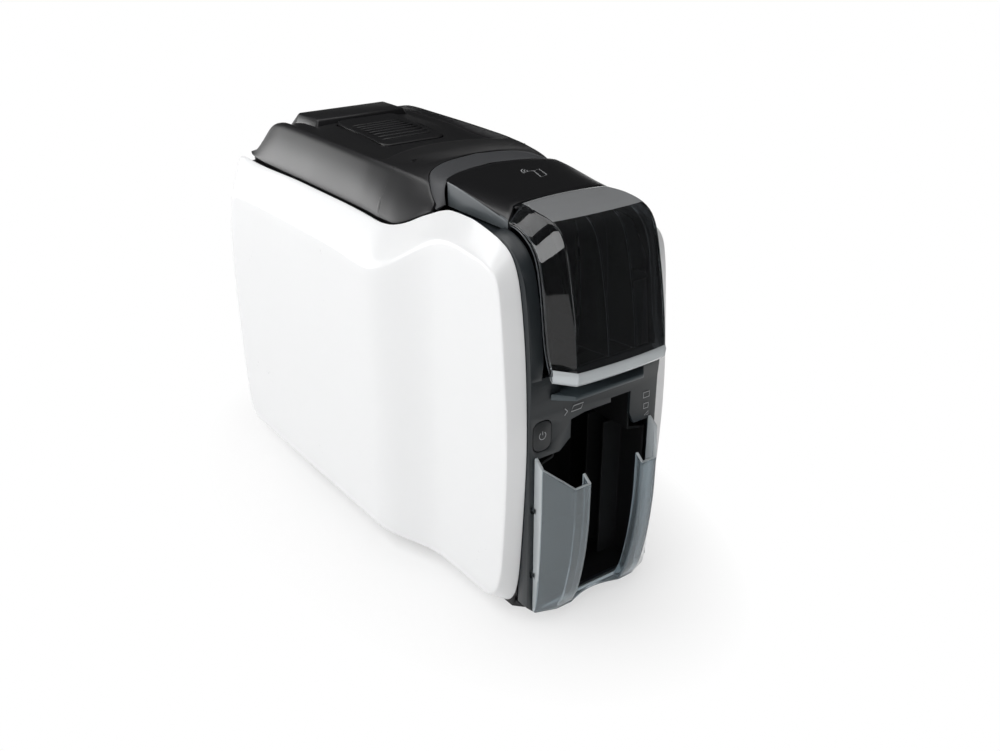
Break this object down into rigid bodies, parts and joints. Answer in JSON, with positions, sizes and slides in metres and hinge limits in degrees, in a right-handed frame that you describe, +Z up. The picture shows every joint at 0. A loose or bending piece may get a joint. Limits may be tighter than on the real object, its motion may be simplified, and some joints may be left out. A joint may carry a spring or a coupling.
{
  "type": "id card printer",
  "caption": "Desktop plastic card printer with glossy side panels, a hinged top lid, a clear flip-up hopper door and a gear-driven card path.",
  "frame": {"origin": "centre of the overall box on the plane of the feet", "axes": "+Z up, the front with the hopper door faces -Y, +X is the viewer's right"},
  "size_m": [0.155, 0.3756, 0.266],
  "materials": {
    "white_gloss": "gloss white moulded plastic, light grey front rim",
    "charcoal_satin": "fine textured satin",
    "deck_black": "satin",
    "grey_trim": "fine textured matte",
    "cover_black": "semi gloss",
    "smoky_clear": "polished smoky clear plastic",
    "bezel_dark": "fine textured matte",
    "bin_dark": "moulded matte",
    "button_grey": "matte",
    "tray_dark": "fine textured matte",
    "foot_rubber": "matte",
    "plate_steel": "zinc plated",
    "pin_steel": "ground",
    "motor_metal": "satin black",
    "bush_plastic": "natural",
    "gear_plastic": "natural",
    "pinion_brass": "machined",
    "roller_rubber": "ground rubber",
    "cleaner_rubber": "tacky gloss",
    "pinch_metal": "ground",
    "ribbon_film": "wound film",
    "head_ceramic": "ceramic and heat sink",
    "board_green": "solder mask",
    "socket_black": "moulded",
    "socket_metal": "plated"
  },
  "bodies": {
    "chassis": {"base_tray": "tray_dark", "left_side_panel": "white_gloss", "right_side_panel": "white_gloss", "left_chassis_plate": "plate_steel", "right_chassis_plate": "plate_steel", "rear_panel": "tray_dark", "front_bezel": "bezel_dark", "front_top_cover": "cover_black", "input_hopper": "bin_dark", "output_bin": "bin_dark", "output_guard": "smoky_clear", "manual_feed_lip": "bezel_dark", "rubber_feet": "foot_rubber", "power_inlet": "socket_black", "usb_socket": "socket_metal", "network_socket": "socket_metal", "main_board": "board_green", "button_board": "board_green", "drive_motor": "motor_metal", "ribbon_motor": "motor_metal", "shaft_bushes": "bush_plastic", "idler_studs": "pin_steel", "lid_hinge_pins": "pin_steel", "door_hinge_pins": "pin_steel", "latch_strikers": "plate_steel", "card_path_plate": "bin_dark", "case_screws": "pin_steel", "spool_holders": "bin_dark"},
    "lid": {"top_lid": "charcoal_satin", "arch_trim": "grey_trim", "lid_inner_frame": "bin_dark", "printhead_bracket": "bin_dark", "printhead": "head_ceramic", "latch_pins": "pin_steel"},
    "latch": {"latch_button": "deck_black", "latch_yoke": "bin_dark"},
    "door": {"hopper_door": "smoky_clear"},
    "weight": {"card_weight": "bin_dark"},
    "button": {"power_button": "button_grey"},
    "feed": {"feed_roller": "roller_rubber", "feed_gear": "gear_plastic"},
    "front_transport": {"front_transport_roller": "roller_rubber", "front_transport_gear": "gear_plastic"},
    "platen": {"platen_roller": "roller_rubber", "platen_gear": "gear_plastic"},
    "rear_transport": {"rear_transport_roller": "roller_rubber", "rear_transport_gear": "gear_plastic"},
    "cleaner": {"cleaning_roller": "cleaner_rubber"},
    "front_pinch": {"front_pinch_roller": "pinch_metal"},
    "rear_pinch": {"rear_pinch_roller": "pinch_metal"},
    "feed_idle": {"feed_idler": "gear_plastic"},
    "front_idle": {"front_idler": "gear_plastic"},
    "rear_idle": {"rear_idler": "gear_plastic"},
    "reduction": {"reduction_idler": "gear_plastic"},
    "pinion": {"motor_pinion": "pinion_brass"},
    "ribbon_drive": {"ribbon_pinion": "pinion_brass"},
    "takeup": {"takeup_hub": "gear_plastic", "takeup_spool": "ribbon_film"},
    "supply": {"supply_spool": "ribbon_film"}
  },
  "joints": [
    {"name": "lid_hinge", "type": "hinge", "parent": "chassis", "child": "lid", "pos_m": [0, 0.17199, 0.2245], "axis": [-1, 0, 0], "range_deg": [0, 90]},
    {"name": "latch_lever", "type": "hinge", "parent": "lid", "child": "latch", "pos_m": [0, 0.09, 0.253], "axis": [1, 0, 0], "range_deg": [0, 2.6], "stiffness_Nm_per_rad": 0.3, "springref_deg": -5.73},
    {"name": "door_hinge", "type": "hinge", "parent": "chassis", "child": "door", "pos_m": [0, -0.1296, 0.25701], "axis": [-1, 0, 0], "range_deg": [0, 75]},
    {"name": "weight_slide", "type": "slide", "parent": "chassis", "child": "weight", "axis": [0, 0, 1], "range_m": [0, 0.068]},
    {"name": "button_press", "type": "slide", "parent": "chassis", "child": "button", "axis": [0, 1, 0], "range_m": [0, 0.0012], "stiffness_N_per_m": 600},
    {"name": "platen_spin", "type": "hinge", "parent": "chassis", "child": "platen", "pos_m": [0, 0.01599, 0.15701], "axis": [1, 0, 0], "continuous": true},
    {"name": "feed_spin", "type": "hinge", "parent": "chassis", "child": "feed", "pos_m": [0, -0.09601, 0.15701], "axis": [1, 0, 0], "continuous": true},
    {"name": "front_transport_spin", "type": "hinge", "parent": "chassis", "child": "front_transport", "pos_m": [0, -0.02801, 0.15701], "axis": [1, 0, 0], "continuous": true},
    {"name": "rear_transport_spin", "type": "hinge", "parent": "chassis", "child": "rear_transport", "pos_m": [0, 0.05999, 0.15701], "axis": [1, 0, 0], "continuous": true},
    {"name": "feed_idler_spin", "type": "hinge", "parent": "chassis", "child": "feed_idle", "pos_m": [0, -0.06201, 0.15701], "axis": [1, 0, 0], "continuous": true},
    {"name": "front_idler_spin", "type": "hinge", "parent": "chassis", "child": "front_idle", "pos_m": [0, -0.00601, 0.15701], "axis": [1, 0, 0], "continuous": true},
    {"name": "rear_idler_spin", "type": "hinge", "parent": "chassis", "child": "rear_idle", "pos_m": [0, 0.03799, 0.15701], "axis": [1, 0, 0], "continuous": true},
    {"name": "reduction_spin", "type": "hinge", "parent": "chassis", "child": "reduction", "pos_m": [0, 0.01599, 0.13501], "axis": [1, 0, 0], "continuous": true},
    {"name": "motor_pinion_spin", "type": "hinge", "parent": "chassis", "child": "pinion", "pos_m": [0, 0.01599, 0.11801], "axis": [1, 0, 0], "continuous": true},
    {"name": "cleaner_spin", "type": "hinge", "parent": "chassis", "child": "cleaner", "pos_m": [0, -0.05801, 0.17391], "axis": [1, 0, 0], "continuous": true},
    {"name": "front_pinch_spin", "type": "hinge", "parent": "chassis", "child": "front_pinch", "pos_m": [0, -0.02801, 0.17191], "axis": [1, 0, 0], "continuous": true},
    {"name": "rear_pinch_spin", "type": "hinge", "parent": "chassis", "child": "rear_pinch", "pos_m": [0, 0.05999, 0.17191], "axis": [1, 0, 0], "continuous": true},
    {"name": "takeup_spin", "type": "hinge", "parent": "chassis", "child": "takeup", "pos_m": [0, -0.03399, 0.20301], "axis": [1, 0, 0], "continuous": true},
    {"name": "ribbon_pinion_spin", "type": "hinge", "parent": "chassis", "child": "ribbon_drive", "pos_m": [0, -0.03399, 0.18601], "axis": [1, 0, 0], "continuous": true},
    {"name": "supply_spin", "type": "hinge", "parent": "chassis", "child": "supply", "pos_m": [0, 0.06801, 0.20301], "axis": [1, 0, 0], "continuous": true}
  ],
  "couplings": [
    {"joint": "feed_spin", "follows": "platen_spin", "ratio": 1},
    {"joint": "front_transport_spin", "follows": "platen_spin", "ratio": 1},
    {"joint": "rear_transport_spin", "follows": "platen_spin", "ratio": 1},
    {"joint": "feed_idler_spin", "follows": "platen_spin", "ratio": -0.41667},
    {"joint": "front_idler_spin", "follows": "platen_spin", "ratio": -0.83333},
    {"joint": "rear_idler_spin", "follows": "platen_spin", "ratio": -0.83333},
    {"joint": "reduction_spin", "follows": "platen_spin", "ratio": -0.83333},
    {"joint": "motor_pinion_spin", "follows": "platen_spin", "ratio": 2},
    {"joint": "ribbon_pinion_spin", "follows": "takeup_spin", "ratio": -2.4}
  ]
}
